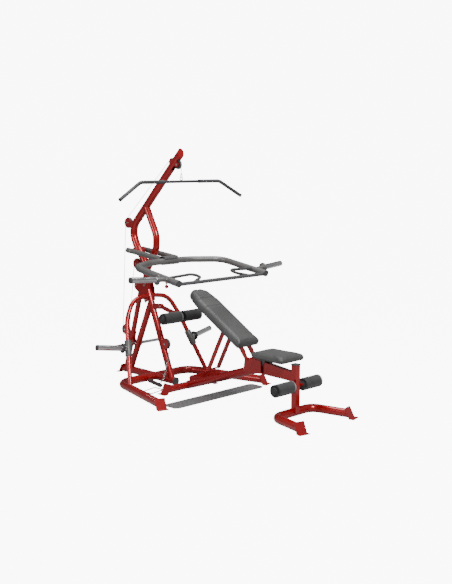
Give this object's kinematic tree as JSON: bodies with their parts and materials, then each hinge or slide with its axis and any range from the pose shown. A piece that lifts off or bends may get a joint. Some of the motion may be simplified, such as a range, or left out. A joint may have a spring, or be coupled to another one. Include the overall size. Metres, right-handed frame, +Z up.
{
  "type": "multi station home gym",
  "caption": "Plate-loaded home gym: leverage tower with press arm, lat bar and low cable, and an adjustable bench with foam rollers.",
  "frame": {"origin": "on the floor under the middle of the whole machine", "axes": "+X from the tower to the foot end of the bench, +Y to the left side, +Z up"},
  "size_m": [2.628, 1.7492, 2.1149],
  "materials": {
    "red_frame": "gloss candy powder coat",
    "grey_metal": "satin hammered powder coat",
    "chrome": "polished",
    "black_metal": "satin powder coat",
    "zinc": "bright zinc plate",
    "black_plastic": "moulded, matte",
    "pad_vinyl": "black grained vinyl",
    "foam": "foam sleeve, matte",
    "tread_plate": "raised tread, satin",
    "cable_steel": "coated steel cable",
    "grip_rubber": "ribbed grip",
    "red_knob": "moulded, glossy"
  },
  "bodies": {
    "tower": {"boom_tube": "red_frame", "loop_tube": "red_frame", "base_spine": "red_frame", "base_runners": "red_frame", "base_foot_plates": "red_frame", "front_leg": "red_frame", "rear_leg": "red_frame", "brace_leg": "red_frame", "side_arch_left": "red_frame", "side_arch_right": "red_frame", "storage_horns": "chrome", "tower_end_caps": "black_plastic", "head_plates": "red_frame", "arm_pivot_bracket": "red_frame", "arm_pivot_shaft": "zinc", "top_pulley_bracket": "red_frame", "rear_pulley_bracket": "red_frame", "mid_pulley_bracket": "red_frame", "low_pulley_bracket": "red_frame", "tower_bolts": "zinc", "hold_down_bracket": "red_frame", "cable_boom": "cable_steel", "cable_rear_span": "cable_steel", "cable_return_span": "cable_steel", "cable_lat": "cable_steel", "cable_low": "cable_steel", "low_chain": "zinc", "floor_plate": "tread_plate", "low_handles": "black_metal"},
    "tip_front_wheel": {"tip_front_pulley": "black_plastic"},
    "tip_upper_wheel": {"tip_upper_pulley": "black_plastic"},
    "rear_wheel": {"rear_pulley": "black_plastic"},
    "mid_wheel": {"mid_pulley": "black_plastic"},
    "low_wheel": {"low_pulley": "black_plastic"},
    "carriage_wheel": {"carriage_pulley": "black_plastic"},
    "hold_down": {"hold_down_arm": "red_frame"},
    "hold_rollers": {"hold_down_rollers": "foam"},
    "press_arm": {"arm_yoke": "grey_metal", "arm_rails": "grey_metal", "arm_centre_plate": "grey_metal", "arm_crossbar": "black_metal", "arm_hand_grips": "grip_rubber", "arm_plate_horns": "chrome", "arm_end_caps": "black_plastic"},
    "pop_pin": {"arm_pop_pin": "red_knob"},
    "lat": {"lat_bar": "black_metal", "lat_hook": "zinc"},
    "carriage": {"weight_carriage": "red_frame", "carriage_shafts": "chrome"},
    "bench": {"bench_spine": "red_frame", "bench_foot_tubes": "red_frame", "bench_foot_plates": "red_frame", "bench_front_frame": "red_frame", "bench_hinge_cheeks": "red_frame", "bench_post_cap": "black_plastic"},
    "bench_roller_pair": {"bench_rollers": "foam"},
    "back_rest": {"back_frame": "red_frame", "back_pad": "pad_vinyl"},
    "struts": {"back_struts": "red_frame"},
    "seat": {"seat_frame": "grey_metal", "seat_pad": "pad_vinyl"}
  },
  "joints": [
    {"name": "press_arm_lift", "type": "hinge", "parent": "tower", "child": "press_arm", "pos_m": [-1, 0, 1.189], "axis": [0, -1, 0], "range_deg": [0, 40]},
    {"name": "pop_pin_pull", "type": "slide", "parent": "press_arm", "child": "pop_pin", "axis": [0, 0, -1], "range_m": [0, 0.012], "stiffness_N_per_m": 600, "springref_m": -0.01},
    {"name": "weight_carriage_lift", "type": "slide", "parent": "tower", "child": "carriage", "axis": [0.29, 0, 0.957], "range_m": [0, 0.3], "deforming": ["cable_rear_span", "cable_return_span"]},
    {"name": "lat_bar_pull", "type": "slide", "parent": "tower", "child": "lat", "axis": [0, 0, -1], "range_m": [0, 0.6], "deforming": ["cable_lat"]},
    {"name": "tip_front_spin", "type": "hinge", "parent": "tower", "child": "tip_front_wheel", "pos_m": [-0.441, 0, 1.975], "axis": [0, 1, 0], "continuous": true},
    {"name": "tip_upper_spin", "type": "hinge", "parent": "tower", "child": "tip_upper_wheel", "pos_m": [-0.52, 0, 1.998], "axis": [0, 1, 0], "continuous": true},
    {"name": "rear_spin", "type": "hinge", "parent": "tower", "child": "rear_wheel", "pos_m": [-1.145, 0, 1.437], "axis": [0, 1, 0], "continuous": true},
    {"name": "mid_spin", "type": "hinge", "parent": "tower", "child": "mid_wheel", "pos_m": [-1.025, 0, 1.065], "axis": [0, 1, 0], "continuous": true},
    {"name": "low_spin", "type": "hinge", "parent": "tower", "child": "low_wheel", "pos_m": [-0.628, 0, 0.363], "axis": [0, 1, 0], "continuous": true},
    {"name": "carriage_spin", "type": "hinge", "parent": "carriage", "child": "carriage_wheel", "pos_m": [-1.21, 0, 0.42], "axis": [0, 1, 0], "continuous": true},
    {"name": "hold_down_swing", "type": "hinge", "parent": "tower", "child": "hold_down", "pos_m": [-0.69, 0, 0.7], "axis": [0, 1, 0], "range_deg": [-20, 20]},
    {"name": "hold_down_roll", "type": "hinge", "parent": "hold_down", "child": "hold_rollers", "pos_m": [-0.42, 0, 0.64], "axis": [0, 1, 0], "continuous": true},
    {"name": "bench_slide", "type": "slide", "parent": "tower", "child": "bench", "axis": [1, 0, 0], "range_m": [0, 0.2]},
    {"name": "back_recline", "type": "hinge", "parent": "bench", "child": "back_rest", "pos_m": [0.44, 0, 0.4], "axis": [0, 1, 0], "range_deg": [-28, 18]},
    {"name": "strut_swing", "type": "hinge", "parent": "back_rest", "child": "struts", "pos_m": [0.18, 0, 0.59], "axis": [0, 1, 0], "range_deg": [-60, 60]},
    {"name": "seat_tilt", "type": "hinge", "parent": "bench", "child": "seat", "pos_m": [0.585, 0, 0.372], "axis": [0, -1, 0], "range_deg": [0, 20]},
    {"name": "bench_roller_spin", "type": "hinge", "parent": "bench", "child": "bench_roller_pair", "pos_m": [0.95, 0, 0.258], "axis": [0, 1, 0], "continuous": true}
  ],
  "couplings": [
    {"joint": "lat_bar_pull", "follows": "weight_carriage_lift", "ratio": 2},
    {"joint": "strut_swing", "follows": "back_recline", "ratio": -1.743}
  ]
}
